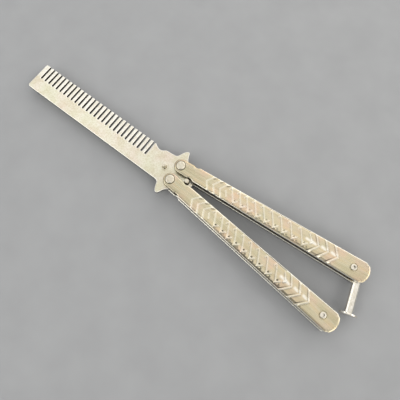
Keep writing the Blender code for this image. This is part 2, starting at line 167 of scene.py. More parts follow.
# Rounded edge of the outer face, and its rows as shares of that radius
EDGE_RADIUS = 0.00050
EDGE_ROWS = (0.0, 0.15, 0.35, 0.6, 1.0)
# Rounded edge of the inner face, its rings, and how far towards the middle a ring may move in
INNER_EDGE = 0.00040
INNER_EDGE_RINGS = 3
INSET_LIMIT = 0.9
# Painted shading of the casting away from the relief, on the scale of the relief's depth: a painted
# highlight on the inner edge, painted shade on the walls, the inner face and in the screw's counterbore
RIM_HIGHLIGHT = 1.0
WALL_SHADE = -1.0
COUNTERBORE_SHADE = -0.24
# Depths over which the crests get a painted highlight and the hollows a painted grey shade
CREST_DEPTHS = (0.1, 0.75)
HOLLOW_DEPTHS = (-0.1, -1.0)
# Share of painted shade in each handle's edge grooves and pits: handle b gets less
GROOVE_SHADE = {"a": 0.72, "b": 0.32}
# Section across a raised line: (distance, height), the distance towards the tail counted as positive
LINE_PROFILE = [
    (-0.00190, 0.0), (-0.00115, -0.00002), (-0.00070, -0.00004), (-0.00010, 0.00010),
    (0.00015, 0.00014), (0.00040, 0.00012), (0.00120, 0.00001), (0.00200, 0.0),
]
PROFILE_WIDTH = 0.0040
PROFILE_HEIGHT = 0.0008
# Stretches of the low ridge between the tail chevrons, which gets a painted highlight
KEEL = [
    [(0.0830, 0.0006), (0.0888, 0.0003)],
    [(0.0925, 0.0008), (0.0948, 0.0005)],
    [(0.0985, 0.0008), (0.1008, 0.0005)],
]
# Sizes of the relief; a reach or radius is how far a form goes from its line or point
RELIEF = {
    "Profile width": PROFILE_WIDTH,
    "Profile height": PROFILE_HEIGHT,
    "Inner strength": 0.94,
    "Outer strength": 1.30,
    "Minus inner y": -0.0012,
    "Minus outer y": -0.0050,
    "Plus outer y": 0.0050,
    "Keel reach": 0.00220,
    "Keel height": 0.00006,
    "Crease reach": 0.000425,
    "Crease depth": 0.00004,
    "Crease share": 0.52,
    "Arm crease share": 0.88,
    "Pit radius": 0.00075,
    "Pit depth": 0.00018,
    "Lobe radius": 0.00105,
    "Broad groove reach": 0.000725,
    "Narrow groove reach": 0.00025,
    "Edge groove depth": 0.00020,
    "Groove start": 0.0360,
    "Groove full": 0.0640,
    "Groove fade": 0.0820,
    "Groove end": 0.0990,
    "Groove end share": 0.30,
    "Clearing start": 0.00020,
    "Clearing end": 0.00080,
    "Seat reach": 0.00070,
    "Seat depth": 0.00014,
    "Edge radius": EDGE_RADIUS,
    "Crown width": 0.00180,
    "Crown drop": 0.00030,
    # Painted highlights and shade, on the scale of the relief's depth
    "Full depth": 0.00034,
    "Crease shading": 0.90,
    "Pit shading": 1.15,
    "Seat shading": 0.20,
    "Keel highlight": 0.55,
    "Rim highlight": 0.75,
    "Rim start": 0.0100,
    "Rim full": 0.0220,
    "Edge shadow end": 0.0078,
    "Edge shadow": -0.85,
}

# Latch, from its peg along its own length
LATCH_X = 0.1175
LATCH_TURN = math.radians(-79.4)
PEG_RADIUS = 0.0012
EYE_RADIUS = 0.0032
EYE_HALF_HEIGHT = 0.00195
SHAFT_WIDTH = 0.0041
SHAFT_HALF_HEIGHT = 0.0017
SHAFT_CROWN = 0.0005
SHAFT_FLAT_SHARE = 0.6
SHAFT_START = 0.0024
T_START = 0.0232
T_THICK = 0.0010
T_WIDTH = 0.0093
T_HALF_HEIGHT = 0.0040
T_ARCH = 0.0022
LATCH_EDGE = 0.00012
LATCH_BEVEL_ABOVE = math.radians(40)
CROWN_SHARP_ABOVE = math.radians(28)

# Camera at the photo's angle
LENS = 35.07
CAMERA_PLACE = Vector((0.04454, -0.0504, 0.2257))
CAMERA_AIM = Vector((0.01101, -0.00253, 0.0))
CAMERA_ROLL = math.radians(2.0)

# Softboxes: name, place, the point that it faces, width, depth, watts and colour
SOFTBOXES = [
    ("overhead_left", (-0.62, 0.475, 0.75), (-0.62, 0.475, 0.0), 0.75, 1.05, 1.90, "FFFDF8"),
    ("overhead_right", (0.085, 0.475, 0.75), (0.085, 0.475, 0.0), 0.55, 1.05, 1.26, "FFF8EC"),
    ("overhead_back", (-0.07, 0.90, 0.74), (-0.07, 0.90, 0.0), 0.34, 0.80, 0.58, "FDFDFC"),
    ("upper_right", (0.64, 0.26, 0.75), (0.08, 0.0, 0.0), 0.25, 0.45, 0.29, "FFFBF4"),
    ("right", (0.85, 0.60, 0.65), (0.0, 0.0, 0.0), 0.7, 0.7, 2.2, "FFFBF2"),
    ("left", (-0.47, -0.16, 0.75), (0.1, 0.0, 0.0), 0.35, 0.2, 0.30, "FFFDF8"),
    ("right_front", (0.95, -0.28, 0.86), (0.1, 0.0, 0.0), 0.8, 0.6, 3.4, "FFFBF2"),
    ("back", (-0.10, 1.10, 0.40), (0.0, 0.0, 0.0), 1.6, 0.6, 4.8, "FFFDF8"),
    ("front", (-0.40, -0.72, 0.60), (-0.1, 0.0, 0.0), 1.0, 0.6, 3.8, "FFFDF8"),
]
FLOOR_HALF = 1.6

# Corners sharper than these angles stay sharp
SMOOTH_BELOW = math.radians(35)
CAST_SMOOTH_BELOW = math.radians(65)
# Upright part of a face's normal, below which it is a side and above which it is a flat
SIDE_BELOW = 0.2
FLAT_ABOVE = 0.98


def linear(colour):
    """Linear colour of an sRGB hex value."""
    channels = []
    for i in (0, 2, 4):
        share = int(colour[i:i + 2], 16) / 255
        channels.append(share / 12.92 if share <= 0.04045 else ((share + 0.055) / 1.055) ** 2.4)
    return (*channels, 1.0)


def add(tree, kind, inputs=None, **settings):
    """Adds a node with its settings; an input is a value, or the socket that it is linked from."""
    made = tree.nodes.new(kind)
    for name, value in settings.items():
        setattr(made, name, value)
    for name, value in (inputs or {}).items():
        if isinstance(value, bpy.types.NodeSocket):
            tree.links.new(value, made.inputs[name])
        else:
            made.inputs[name].default_value = value
    return made


def per_size(size):
    """Scale of a noise whose spots are about that many metres across."""
    return 1.0 / size


def arc(centre, radius, start, end, segments):
    """Points on a round stretch, angles in degrees, both ends included."""
    points = []
    for i in range(segments + 1):
        angle = math.radians(start + (end - start) * i / segments)
        points.append((centre[0] + radius * math.cos(angle), centre[1] + radius * math.sin(angle)))
    return points


def circle(centre, radius, sides):
    return arc(centre, radius, 0.0, 360.0, sides)[:-1]


def smooth_curve(keys, steps):
    """Smooth curve through the keys, with a number of steps from each key to the next."""
    padded = [keys[0], *keys, keys[-1]]
    points = []
    for before, a, b, after in zip(padded, padded[1:], padded[2:], padded[3:]):
        for i in range(steps):
            t = i / steps
            point = []
            for p, q, r, s in zip(before, a, b, after):
                bend = (2 * p - 5 * q + 4 * r - s) * t * t + (3 * q - p - 3 * r + s) * t ** 3
                point.append(0.5 * (2 * q + (r - p) * t + bend))
            points.append(tuple(point))
    points.append(keys[-1])
    return points


def mesh_from(name, verts, faces):
    """Mesh from points and faces, with the faces of a closed one turned outwards."""
    built = bmesh.new()
    corners = [built.verts.new(v) for v in verts]
    for face in faces:
        built.faces.new([corners[i] for i in face])
    bmesh.ops.recalc_face_normals(built, faces=built.faces)
    mesh = bpy.data.meshes.new(name)
    built.to_mesh(mesh)
    built.free()
    return mesh


def slab(name, outline, low, high):
    """Straight extrusion of a closed outline between two heights."""
    count = len(outline)
    verts = [(x, y, low) for x, y in outline] + [(x, y, high) for x, y in outline]
    faces = [list(range(count)), list(range(count, 2 * count))]
    for i in range(count):
        j = (i + 1) % count
        faces.append([i, j, count + j, count + i])
    return mesh_from(name, verts, faces)


def turned(name, profile, centre=(0.0, 0.0)):
    """Solid of revolution about Z from (radius, height) points, closed on the axis at both ends."""
    verts = [(*centre, profile[0][1])]
    for radius, height in profile[1:-1]:
        verts += [(x, y, height) for x, y in circle(centre, radius, ROUND_SIDES)]
    verts.append((*centre, profile[-1][1]))
    top = len(verts) - 1
    faces = []
    for i in range(ROUND_SIDES):
        j = (i + 1) % ROUND_SIDES
        faces.append([0, 1 + i, 1 + j])
        faces.append([top, top - ROUND_SIDES + i, top - ROUND_SIDES + j])
        for ring in range(len(profile) - 3):
            base = 1 + ring * ROUND_SIDES
            faces.append([base + i, base + j, base + ROUND_SIDES + j, base + ROUND_SIDES + i])
    return mesh_from(name, verts, faces)


def mirrored_profile(upper):
    """Profile that is the same below the plate's middle as above it, listed upwards."""
    return [(radius, -height) for radius, height in reversed(upper)] + upper


def polyline(lines):
    """Mesh of bare edges along lists of (x, y) points, which a node tree measures from."""
    mesh = bpy.data.meshes.new("lines")
    verts = []
    edges = []
    for line in lines:
        edges += [(len(verts) + i, len(verts) + i + 1) for i in range(len(line) - 1)]
        verts += [(x, y, 0.0) for x, y in line]
    mesh.from_pydata(verts, edges, [])
    return mesh


def joined(meshes):
    """Several meshes in one, as separate closed shells."""
    built = bmesh.new()
    for mesh in meshes:
        built.from_mesh(mesh)
        bpy.data.meshes.remove(mesh)
    together = bpy.data.meshes.new("joined")
    built.to_mesh(together)
    built.free()
    return together


def shown(name, data):
    """Object for a mesh, a light or a camera, linked to the scene."""
    made = bpy.data.objects.new(name, data)
    bpy.context.scene.collection.objects.link(made)
    return made


def evaluated(host):
    """Plain mesh of an object with its modifiers applied; the object is removed."""
    bpy.context.view_layer.update()
    graph = bpy.context.evaluated_depsgraph_get()
    mesh = bpy.data.meshes.new_from_object(host.evaluated_get(graph))
    bpy.data.objects.remove(host, do_unlink=True)
    return mesh


def combined(base, steps):
    """Base mesh after a list of (operation, mesh) Booleans, as one plain mesh."""
    body = shown("body", base)
    tools = []
    for operation, mesh in steps:
        tool = shown("tool", mesh)
        tools.append(tool)
        boolean = body.modifiers.new(operation, "BOOLEAN")
        boolean.operation = operation
        boolean.solver = "EXACT"
        boolean.object = tool
    mesh = evaluated(body)
    for tool in tools:
        bpy.data.objects.remove(tool, do_unlink=True)
    return mesh


def softened(mesh, width, angle=SMOOTH_BELOW):
    """Mesh with its sharp edges rounded and the flats between them kept flat in the light."""
    body = shown("body", mesh)
    bevel = body.modifiers.new("edges", "BEVEL")
    bevel.width = width
    bevel.segments = 2
    bevel.limit_method = "ANGLE"
    bevel.angle_limit = angle
    bevel.use_clamp_overlap = False
    mesh = evaluated(body)
    mesh.shade_smooth()
    weighted = shown("body", mesh)
    flats = weighted.modifiers.new("flats", "WEIGHTED_NORMAL")
    flats.keep_sharp = True
    return evaluated(weighted)


def grown(name, mesh, tree, values):
    """Plain mesh that a node tree makes from a mesh, its named inputs set by their identifiers."""
    host = shown(name, mesh)
    maker = host.modifiers.new(name, "NODES")
    maker.node_group = tree
    for item in tree.interface.items_tree:
        if item.in_out == "INPUT" and item.name in values:
            maker[item.identifier] = values[item.name]
    return evaluated(host)


def new_tree(name, inputs):
    """Geometry node tree that takes and gives a mesh, with named inputs as (name, kind) pairs."""
    tree = bpy.data.node_groups.new(name, "GeometryNodeTree")
    tree.interface.new_socket("Geometry", in_out="INPUT", socket_type="NodeSocketGeometry")
    tree.interface.new_socket("Geometry", in_out="OUTPUT", socket_type="NodeSocketGeometry")
    for label, kind in inputs:
        tree.interface.new_socket(label, in_out="INPUT", socket_type="NodeSocket" + kind)
    return tree


def comb_tree():
    """Cuts one gap after another along the toothed edge, and drills the plate."""
    tree = new_tree("gap_cutter", [
        ("Gap", "Object"), ("Drills", "Object"), ("Gap count", "Int"), ("Gap pitch", "Float"),
        ("First gap", "Float"), ("Material", "Material"),
    ])
    given = add(tree, "NodeGroupInput").outputs
    gap = add(tree, "GeometryNodeObjectInfo", {"Object": given["Gap"]})
    drills = add(tree, "GeometryNodeObjectInfo", {"Object": given["Drills"]})
    start = add(tree, "ShaderNodeCombineXYZ", {"X": given["First gap"]})
    step = add(tree, "ShaderNodeCombineXYZ", {"X": given["Gap pitch"]})
    places = add(tree, "GeometryNodeMeshLine", {
        "Count": given["Gap count"],
        "Start Location": start.outputs[0],
        "Offset": step.outputs[0],
    })
    gaps = add(tree, "GeometryNodeInstanceOnPoints", {
        "Points": places.outputs[0],
        "Instance": gap.outputs["Geometry"],
    })
    cutters = add(tree, "GeometryNodeJoinGeometry", {0: gaps.outputs[0]})
    tree.links.new(drills.outputs["Geometry"], cutters.inputs[0])
    solid_cutters = add(tree, "GeometryNodeRealizeInstances", {0: cutters.outputs[0]})
    cut = add(tree, "GeometryNodeMeshBoolean", {
        "Mesh 1": given["Geometry"],
        "Mesh 2": solid_cutters.outputs[0],
    }, operation="DIFFERENCE", solver="EXACT")
    real = add(tree, "GeometryNodeRealizeInstances", {0: cut.outputs[0]})
    coated = add(tree, "GeometryNodeSetMaterial", {0: real.outputs[0], "Material": given["Material"]})
    add(tree, "NodeGroupOutput", {0: coated.outputs[0]})
    return tree


def shape_curve(node):
    """Gives a float curve node the section of a raised line, both its scales running from 0 to 1."""
    places = [(0.5 + far / PROFILE_WIDTH, 0.5 + height / PROFILE_HEIGHT) for far, height in LINE_PROFILE]
    curve = node.mapping.curves[0]
    curve.points[0].location = places[0]
    curve.points[1].location = places[-1]
    for place in places[1:-1]:
        curve.points.new(*place)
    node.mapping.extend = "HORIZONTAL"
    node.mapping.update()


def bank(result, distance, reach, level):
    """Steps to a value of one near a line, over a level share of its reach, that then falls smoothly."""
    return [
        (result + " level", "MULTIPLY", reach, level),
        (result, "SMOOTHSTEP", distance, reach, result + " level"),
    ]


# What the relief is measured from: the edges of helper lines, or helper points
MEASURED = {
    "Raised lines": "EDGES", "Keel": "EDGES", "Creases": "EDGES", "Arm creases": "EDGES",
    "Edge lines": "EDGES", "Seat": "EDGES", "Outline": "EDGES", "Pits": "POINTS", "Lobe": "POINTS",
}
# Sockets that the terms of a LINEAR or SMOOTHSTEP step go to, in order
RANGE_SOCKETS = ("Value", "From Min", "From Max", "To Min", "To Max")
# Steps that work out the relief: (result, operation, terms), a term being a number or a known value's name
RELIEF_STEPS = [
    # Raised lines: the distance is counted as negative on the side towards the pivot
    ("past line", "SUBTRACT", "x", "nearest x"),
    ("side", "SIGN", "past line"),
    ("signed distance", "MULTIPLY", "to raised lines", "side"),
    ("profile share", "DIVIDE", "signed distance", "Profile width"),
    ("profile place", "ADD", "profile share", 0.5),
    ("section", "LINE_PROFILE", "profile place"),
    ("section height", "SUBTRACT", "section", 0.5),
    ("line", "MULTIPLY", "section height", "Profile height"),
    ("strength", "LINEAR", "y", "Minus inner y", "Minus outer y", "Inner strength", "Outer strength"),
    ("strong line", "MULTIPLY", "line", "strength"),
    *bank("keel", "to keel", "Keel reach", 0.0),
    ("keel rise", "MULTIPLY", "keel", "Keel height"),
    ("raised", "ADD", "strong line", "keel rise"),
    # Creases beside the chevrons: the tail ones widen towards the -y rim
    ("widening", "LINEAR", "y", "Minus inner y", "Minus outer y", "Crease share", 1.0),
    ("tail crease reach", "MULTIPLY", "Crease reach", "widening"),
    *bank("tail crease", "to creases", "tail crease reach", 0.3),
    ("widening crease", "MULTIPLY", "tail crease", "widening"),
    *bank("arm crease", "to arm creases", "Crease reach", 0.3),
    ("faint crease", "MULTIPLY", "arm crease", "Arm crease share"),
    ("crease", "MAXIMUM", "widening crease", "faint crease"),
    # Pits and the seat round the pivot's head
    *bank("pit", "to pits", "Pit radius", 0.5),
    *bank("seat", "to seat", "Seat reach", 0.35),
    # Grooves inside both rims, kept clear of the raised lines and scalloped by the lobes
    ("narrow side", "GREATER_THAN", "y", 0.0),
    ("narrowing", "SUBTRACT", "Narrow groove reach", "Broad groove reach"),
    ("narrowed", "MULTIPLY", "narrow side", "narrowing"),
    ("groove reach", "ADD", "Broad groove reach", "narrowed"),
    *bank("plain groove", "to edge lines", "groove reach", 0.45),
    ("clear", "LINEAR", "to raised lines", "Clearing start", "Clearing end"),
    ("clear groove", "MULTIPLY", "plain groove", "clear"),
    *bank("lobe", "to lobe", "Lobe radius", 0.45),
    ("scalloped groove", "MAXIMUM", "clear groove", "lobe"),
    ("deepening", "LINEAR", "x", "Groove start", "Groove full"),
    ("fading", "LINEAR", "x", "Groove fade", "Groove end", 1.0, "Groove end share"),
    ("groove strength", "MULTIPLY", "deepening", "fading"),
    ("edge groove", "MULTIPLY", "scalloped groove", "groove strength"),
    # Height of the relief before its edges are rounded
    ("seat hollow", "MULTIPLY", "seat", "Seat depth"),
    ("crease hollow", "MULTIPLY", "crease", "Crease depth"),
    ("groove hollow", "MULTIPLY", "edge groove", "Edge groove depth"),
    ("pit hollow", "MULTIPLY", "pit", "Pit depth"),
    ("hollow", "MAXIMUM", "seat hollow", "crease hollow"),
    ("grooved", "MAXIMUM", "hollow", "groove hollow"),
    ("sunk", "MAXIMUM", "grooved", "pit hollow"),
    ("pattern", "SUBTRACT", "raised", "sunk"),
    # The rounded edge: height lost at a distance from the outline, as on a quarter circle
    ("near rim", "MINIMUM", "to outline", "Edge radius"),
    ("short", "SUBTRACT", "Edge radius", "near rim"),
    ("radius squared", "MULTIPLY", "Edge radius", "Edge radius"),
    ("short squared", "MULTIPLY", "short", "short"),
    ("kept squared", "SUBTRACT", "radius squared", "short squared"),
    ("kept", "SQRT", "kept squared"),
    ("rounding", "SUBTRACT", "Edge radius", "kept"),
    ("rim share", "DIVIDE", "to outline", "Edge radius"),
    ("inward", "MINIMUM", "rim share", 1.0),
    # The low crown of the outer face
    ("crown share", "DIVIDE", "to outline", "Crown width"),
    ("crown rest", "SUBTRACT", 1.0, "crown share"),
    ("fall", "MAXIMUM", "crown rest", 0.0),
    ("fall squared", "MULTIPLY", "fall", "fall"),
    ("crown", "MULTIPLY", "fall squared", "Crown drop"),
    ("lowered", "ADD", "rounding", "crown"),
    ("inward pattern", "MULTIPLY", "pattern", "inward"),
    ("height", "SUBTRACT", "inward pattern", "lowered"),
    ("lift", "MULTIPLY", "height", "outer"),
    # Painted light and shade: the relief's height gives painted highlights on crests and painted shade in
    # hollows; painted highlights on the keel, the +y rim and the rounded edges; a painted shadow on the
    # round end's edge; painted shade in the creases and round the seat
    ("keel squared", "POWER", "keel", 2.0),
    ("bright keel", "MULTIPLY", "keel squared", "Keel highlight"),
    ("past notch", "LINEAR", "x", "Rim start", "Rim full", 0.0, "Rim highlight"),
    ("plus rim", "LINEAR", "y", 0.0, "Plus outer y", 0.0, "past notch"),
    ("bright rim", "MULTIPLY", "fall squared", "plus rim"),
    ("highlights", "ADD", "bright keel", "bright rim"),
    ("shaded crease", "MULTIPLY", "crease", "Crease shading"),
    ("shaded seat", "MULTIPLY", "seat", "Seat shading"),
    ("shading", "MAXIMUM", "shaded crease", "shaded seat"),
    ("above hollows", "SUBTRACT", "raised", "hollow"),
    ("inward relief", "MULTIPLY", "above hollows", "inward"),
    ("relief depth", "DIVIDE", "inward relief", "Full depth"),
    ("shaded depth", "SUBTRACT", "relief depth", "shading"),
    ("highlit depth", "ADD", "shaded depth", "highlights"),
    ("inward depth", "MULTIPLY", "highlit depth", "inward"),
    ("bare edge", "SUBTRACT", 1.0, "inward"),
    ("edge lighting", "LINEAR", "x", "Edge shadow end", "Rim start", "Edge shadow", 1.0),
    ("lit edge", "MULTIPLY", "bare edge", "edge lighting"),
    ("face depth", "ADD", "inward depth", "lit edge"),
    ("outer depth", "MULTIPLY", "face depth", "outer"),
    # Painted shade on the walls and the inner face, and a painted highlight on the inner edge
    ("off face", "SUBTRACT", 1.0, "outer"),
    ("wall depth", "MULTIPLY", "finish", "off face"),
    ("cast_depth", "ADD", "outer depth", "wall depth"),
    # Painted shade in the edge grooves and pits, whose share each handle's steel sets
    ("shaded pit", "MULTIPLY", "pit", "Pit shading"),
    ("shaded groove", "MAXIMUM", "edge groove", "shaded pit"),
    ("inward groove", "MULTIPLY", "shaded groove", "inward"),
    ("groove", "MULTIPLY", "inward groove", "outer"),
]


def relief_tree(helpers):
    """Raises the cast relief of a handle from its blank by the distances to its helper lines and points."""
    tree = new_tree("cast_relief", [
        *[(name, "Object") for name in helpers],
        *[(name, "Float") for name in RELIEF],
        ("Material", "Material"),
    ])
    given = add(tree, "NodeGroupInput").outputs
    place = add(tree, "GeometryNodeInputPosition")
    split = add(tree, "ShaderNodeSeparateXYZ", {0: place.outputs[0]})
    plan = add(tree, "ShaderNodeCombineXYZ", {"X": split.outputs["X"], "Y": split.outputs["Y"]})
    known = {"x": split.outputs["X"], "y": split.outputs["Y"]}
    known.update({name: given[name] for name in RELIEF})
    for name in ("spread", "outer", "finish"):
        attribute = add(tree, "GeometryNodeInputNamedAttribute", {"Name": name}, data_type="FLOAT")
        known[name] = attribute.outputs[0]
    shapes = {}
    for name in helpers:
        helper = add(tree, "GeometryNodeObjectInfo", {"Object": given[name]})
        shapes[name] = helper.outputs["Geometry"]

    # A rope line and a lobe at each pit, as large as the handle's width there asks
    for name in ("Rope line", "Lobe"):
        copies = add(tree, "GeometryNodeInstanceOnPoints", {
            "Points": shapes["Pits"],
            "Instance": shapes[name],
            "Scale": known["spread"],
        })
        shapes[name] = copies.outputs[0]
    lines = add(tree, "GeometryNodeJoinGeometry", {0: shapes["Rope line"]})
    tree.links.new(shapes["Chevrons"], lines.inputs[0])
    shapes["Raised lines"] = lines.outputs[0]

    # Distances in plan to the raised lines and to each helper
    near = {}
    for name, element in MEASURED.items():
        single = add(tree, "GeometryNodeRealizeInstances", {0: shapes[name]})
        near[name] = add(tree, "GeometryNodeProximity", {
            "Geometry": single.outputs[0],
            "Sample Position": plan.outputs[0],
        }, target_element=element)
        known["to " + name.lower()] = near[name].outputs["Distance"]
    nearest = add(tree, "ShaderNodeSeparateXYZ", {0: near["Raised lines"].outputs["Position"]})
    known["nearest x"] = nearest.outputs["X"]

    for result, operation, *terms in RELIEF_STEPS:
        values = [known.get(term, term) for term in terms]
        if operation == "LINE_PROFILE":
            made = add(tree, "ShaderNodeFloatCurve", {"Value": values[0]})
            shape_curve(made)
        elif operation in ("LINEAR", "SMOOTHSTEP"):
            ranged = dict(zip(RANGE_SOCKETS, values))
            made = add(tree, "ShaderNodeMapRange", ranged, interpolation_type=operation)
        else:
            made = add(tree, "ShaderNodeMath", dict(enumerate(values)), operation=operation)
        known[result] = made.outputs[0]

    geometry = given["Geometry"]
    for name in ("cast_depth", "groove"):
        stored = add(tree, "GeometryNodeStoreNamedAttribute", {
            "Geometry": geometry,
            "Name": name,
            "Value": known[name],
        }, data_type="FLOAT", domain="POINT")
        geometry = stored.outputs[0]
    offset = add(tree, "ShaderNodeCombineXYZ", {"Z": known["lift"]})
    moved = add(tree, "GeometryNodeSetPosition", {"Geometry": geometry, "Offset": offset.outputs[0]})
    real = add(tree, "GeometryNodeRealizeInstances", {0: moved.outputs[0]})
    coated = add(tree, "GeometryNodeSetMaterial", {0: real.outputs[0], "Material": given["Material"]})
    add(tree, "NodeGroupOutput", {0: coated.outputs[0]})
    return tree


def new_material(name):
    """Material with one Principled shader, given as its tree and that shader."""
    made = bpy.data.materials.new(name)
    made.use_nodes = True
    return made, made.node_tree, made.node_tree.nodes["Principled BSDF"]


def mottling(tree, place, scale, detail, stops):
    """Spots of a pattern, and their tint by (share, hex colour) stops."""
    noise = add(tree, "ShaderNodeTexNoise", {"Vector": place, "Scale": scale, "Detail": detail})
    spots = noise.outputs["Fac"]
    ramp = add(tree, "ShaderNodeValToRGB", {"Fac": spots})
    elements = ramp.color_ramp.elements
    while len(elements) < len(stops):
        elements.new(1.0)
    for element, (share, colour) in zip(elements, stops):
        element.position = share
        element.color = linear(colour)
    return spots, ramp.outputs[0]


def make_metal(tree, shader, colour, gloss, rough, marks, strength, depth):
    """Makes a shader a metal, its roughness between two values by its gloss, its marks raised a little."""
    shader.inputs["Metallic"].default_value = 1.0
    ranged = add(tree, "ShaderNodeMapRange", {"Value": gloss, "To Min": rough[0], "To Max": rough[1]})
    bump = add(tree, "ShaderNodeBump", {"Height": marks, "Strength": strength, "Distance": depth})
    tree.links.new(colour, shader.inputs["Base Color"])
    tree.links.new(ranged.outputs[0], shader.inputs["Roughness"])
    tree.links.new(bump.outputs[0], shader.inputs["Normal"])


def ground_sheet_steel(centre):
    """Stainless sheet, ground and tumbled: satin flats with faint clouds, the sawn sides darker with
    painted shade and the rounded edges lighter with a painted highlight.
    """
    made, tree, shader = new_material("ground_sheet_steel")
    from_origin = add(tree, "ShaderNodeTexCoord").outputs["Object"]
    place = add(tree, "ShaderNodeMapping", {"Vector": from_origin, "Location": -centre}).outputs[0]
    clouds = [(0.32, "E9E7D3"), (0.50, "ECE7D7"), (0.68, "EBE0D2")]
    _, colour = mottling(tree, place, per_size(0.012), 1.0, clouds)
    # The teeth are polished brighter than the blade
    split = add(tree, "ShaderNodeSeparateXYZ", {0: place})
    along = add(tree, "ShaderNodeMapRange", {
        "Value": split.outputs["X"],
        "From Min": LAST_GAP_X + GAP_PITCH,
        "From Max": LAST_GAP_X,
        "To Max": TEETH_POLISH,
    })
    on_teeth = add(tree, "ShaderNodeMapRange", {
        "Value": split.outputs["Y"],
        "From Min": TEETH_POLISH_Y[0],
        "From Max": TEETH_POLISH_Y[1],
        "To Max": along.outputs[0],
    })
    # Polishing patches of about 5 mm, and tumbling marks of about 0.1 mm, drawn 0.9 mm so that they show
    _, patches = mottling(tree, place, per_size(0.005), 1.0, [(0.38, "F7F5EF"), (0.58, "FFFFFF")])
    _, marks = mottling(tree, place, per_size(0.0009), 2.0, [(0.35, "F1EEE6"), (0.60, "FFFFFF")])
    # Painted shade: the upright sawn sides are darkened towards 6E685A
    sawn_side_shade = add(tree, "ShaderNodeAttribute", attribute_name="sawn_side_shade")
    # Painted highlight: the rounded edges between flats and sides are lightened towards FFFBF2
    edge_highlight = add(tree, "ShaderNodeAttribute", attribute_name="edge_highlight")
    layers = [
        ("MIX", on_teeth.outputs[0], linear("FDFCF6")),
        ("MULTIPLY", 1.0, patches),
        ("MULTIPLY", 1.0, marks),
        ("MIX", sawn_side_shade.outputs["Fac"], linear("6E685A")),
        ("MIX", edge_highlight.outputs["Fac"], linear("FFFBF2")),
    ]
    for blend, share, layer in layers:
        inputs = {0: share, 6: colour, 7: layer}
        colour = add(tree, "ShaderNodeMix", inputs, data_type="RGBA", blend_type=blend).outputs[2]
    # Grinding grain of about 0.05 mm, drawn 0.35 mm so that it shows
    noise = add(tree, "ShaderNodeTexNoise", {"Vector": place, "Scale": per_size(0.00035), "Detail": 2.0})
    grain = noise.outputs["Fac"]
    make_metal(tree, shader, colour, grain, (0.26, 0.40), grain, 0.25, 0.00003)
    return made


def polished_cast_steel(name, turn, groove_shade):
    """Cast stainless, polished over the relief and brushed lengthwise, with painted highlights on the
    crests and painted grey shade in the hollows.
    """
    made, tree, shader = new_material(name)
    place = add(tree, "ShaderNodeTexCoord").outputs["Object"]
    along = add(tree, "ShaderNodeMapping", {"Vector": place, "Rotation": (0.0, 0.0, -turn)}).outputs[0]
    # Polishing streaks of about 0.1 mm, drawn 2.2 mm wide and 40 mm long so that they show, and
    # brushing lines of about 0.03 mm, drawn 0.3 mm wide and 12 mm long
    stretched = []
    for width, length in ((0.0022, 0.040), (0.0003, 0.012)):
        scale = (per_size(length), per_size(width), per_size(width))
        stretched.append(add(tree, "ShaderNodeMapping", {"Vector": along, "Scale": scale}).outputs[0])
    streak_tints = [(0.35, "F0ECE2"), (0.50, "FCFAF6"), (0.68, "FFF7EA")]
    _, streaks = mottling(tree, stretched[0], 1.0, 1.0, streak_tints)
    noise = add(tree, "ShaderNodeTexNoise", {"Vector": stretched[1], "Scale": 1.0, "Detail": 2.0})
    brushing = noise.outputs["Fac"]
    clouds = [(0.32, "D1CCB3"), (0.50, "D7CDB5"), (0.68, "DDCAB6")]
    _, colour = mottling(tree, along, per_size(0.008), 2.0, clouds)
    # Painted light and shade of the casting, as stored by the relief tree
    depth = add(tree, "ShaderNodeAttribute", attribute_name="cast_depth").outputs["Fac"]
    shares = []
    for start, full in (CREST_DEPTHS, HOLLOW_DEPTHS):
        share = add(tree, "ShaderNodeMapRange", {"Value": depth, "From Min": start, "From Max": full})
        shares.append(share.outputs[0])
    crest, hollow = shares
    # Painted shade in the edge grooves and pits, stronger on handle a than on handle b
    groove = add(tree, "ShaderNodeAttribute", attribute_name="groove").outputs["Fac"]
    groove_shading = add(tree, "ShaderNodeMath", {0: groove, 1: groove_shade}, operation="MULTIPLY")
    shade_share = add(tree, "ShaderNodeMath", {0: hollow, 1: groove_shading.outputs[0]}, operation="MAXIMUM")
    # Painted highlight towards F8F5EA on crests, keel, rims and inner edges; painted shade towards 43413C
    # in hollows, creases, seat, walls, grooves, pits and counterbore
    layers = [
        ("MULTIPLY", 1.0, streaks),
        ("MIX", crest, linear("F8F5EA")),
        ("MIX", shade_share.outputs[0], linear("43413C")),
    ]
    for blend, share, layer in layers:
        inputs = {0: share, 6: colour, 7: layer}
        colour = add(tree, "ShaderNodeMix", inputs, data_type="RGBA", blend_type=blend).outputs[2]
    make_metal(tree, shader, colour, brushing, (0.18, 0.34), brushing, 0.09, 0.00004)
    return made


def small_part_steel(name, light, dark, rough):
    """Stainless of the small parts, machined and then tumbled: fine mottling and a soft gloss."""
    made, tree, shader = new_material(name)
    place = add(tree, "ShaderNodeTexCoord").outputs["Object"]
    spots, tint = mottling(tree, place, per_size(0.0015), 3.0, [(0.35, dark), (0.65, light)])
    # Painted shade on the walls of the hex socket, towards 6A6253
    socket_shade = add(tree, "ShaderNodeAttribute", attribute_name="socket_shade").outputs["Fac"]
    inputs = {0: socket_shade, 6: tint, 7: linear("6A6253")}
    colour = add(tree, "ShaderNodeMix", inputs, data_type="RGBA").outputs[2]
    # Tool marks of about 0.05 mm, drawn 0.25 mm so that they show
    marks = add(tree, "ShaderNodeTexNoise", {"Vector": place, "Scale": per_size(0.00025)}).outputs["Fac"]
    make_metal(tree, shader, colour, spots, rough, marks, 0.15, 0.00002)
    return made


